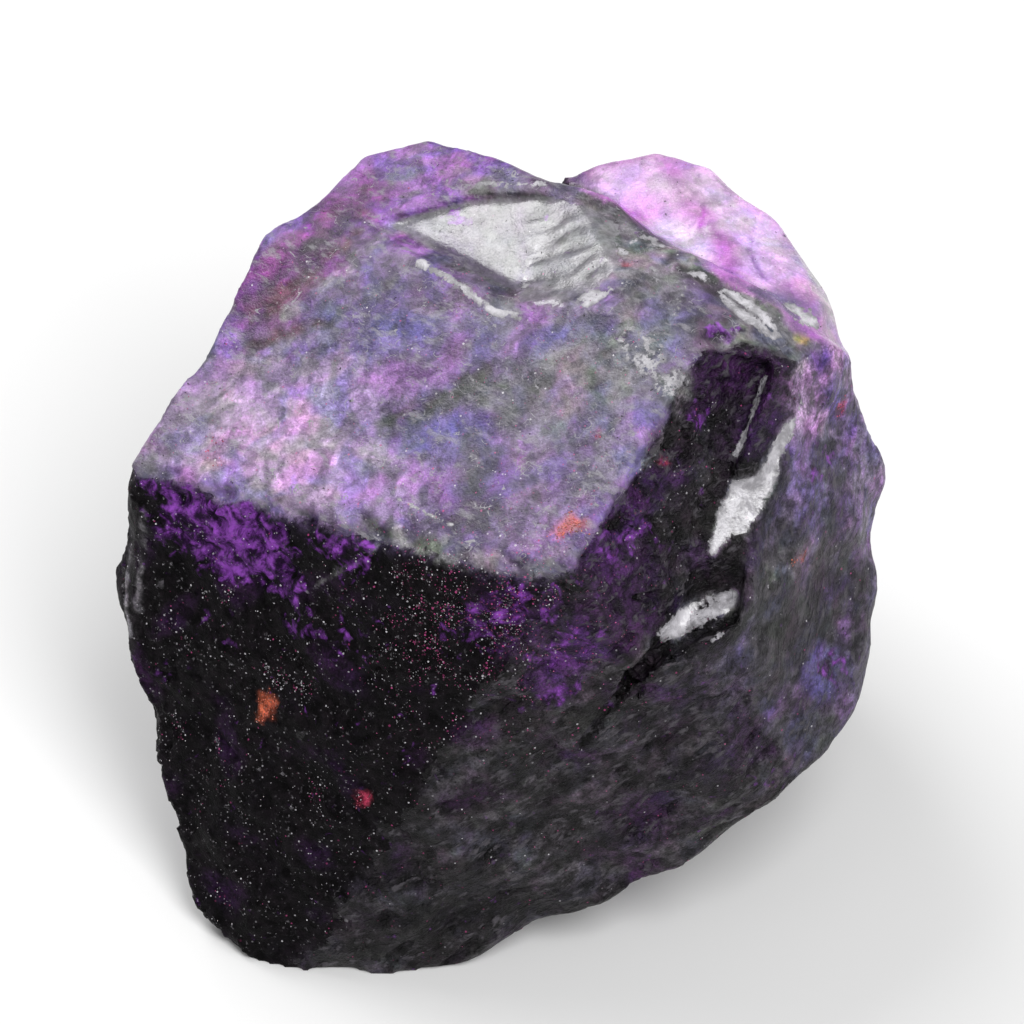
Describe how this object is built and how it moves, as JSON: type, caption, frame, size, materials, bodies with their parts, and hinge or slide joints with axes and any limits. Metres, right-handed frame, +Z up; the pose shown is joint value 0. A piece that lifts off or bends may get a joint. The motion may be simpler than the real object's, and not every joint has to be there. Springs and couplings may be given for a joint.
{
  "type": "rough sapphire crystal",
  "caption": "Rough, broken block of dark purple sapphire with worn walls, a chipped step, glassy flake scars and a thin translucent lobe, resting on a flat base.",
  "frame": {"origin": "middle of the bounding box at the flat base that the stone rests on", "axes": "+Z up; the two steep walls and the chipped step face -Y; +X to the right, towards the step"},
  "size_m": [0.0602, 0.05, 0.0495],
  "materials": {
    "sapphire": "rough broken stone with glassy breaks"
  },
  "bodies": {
    "root": {"sapphire_crystal": "sapphire"}
  },
  "joints": []
}
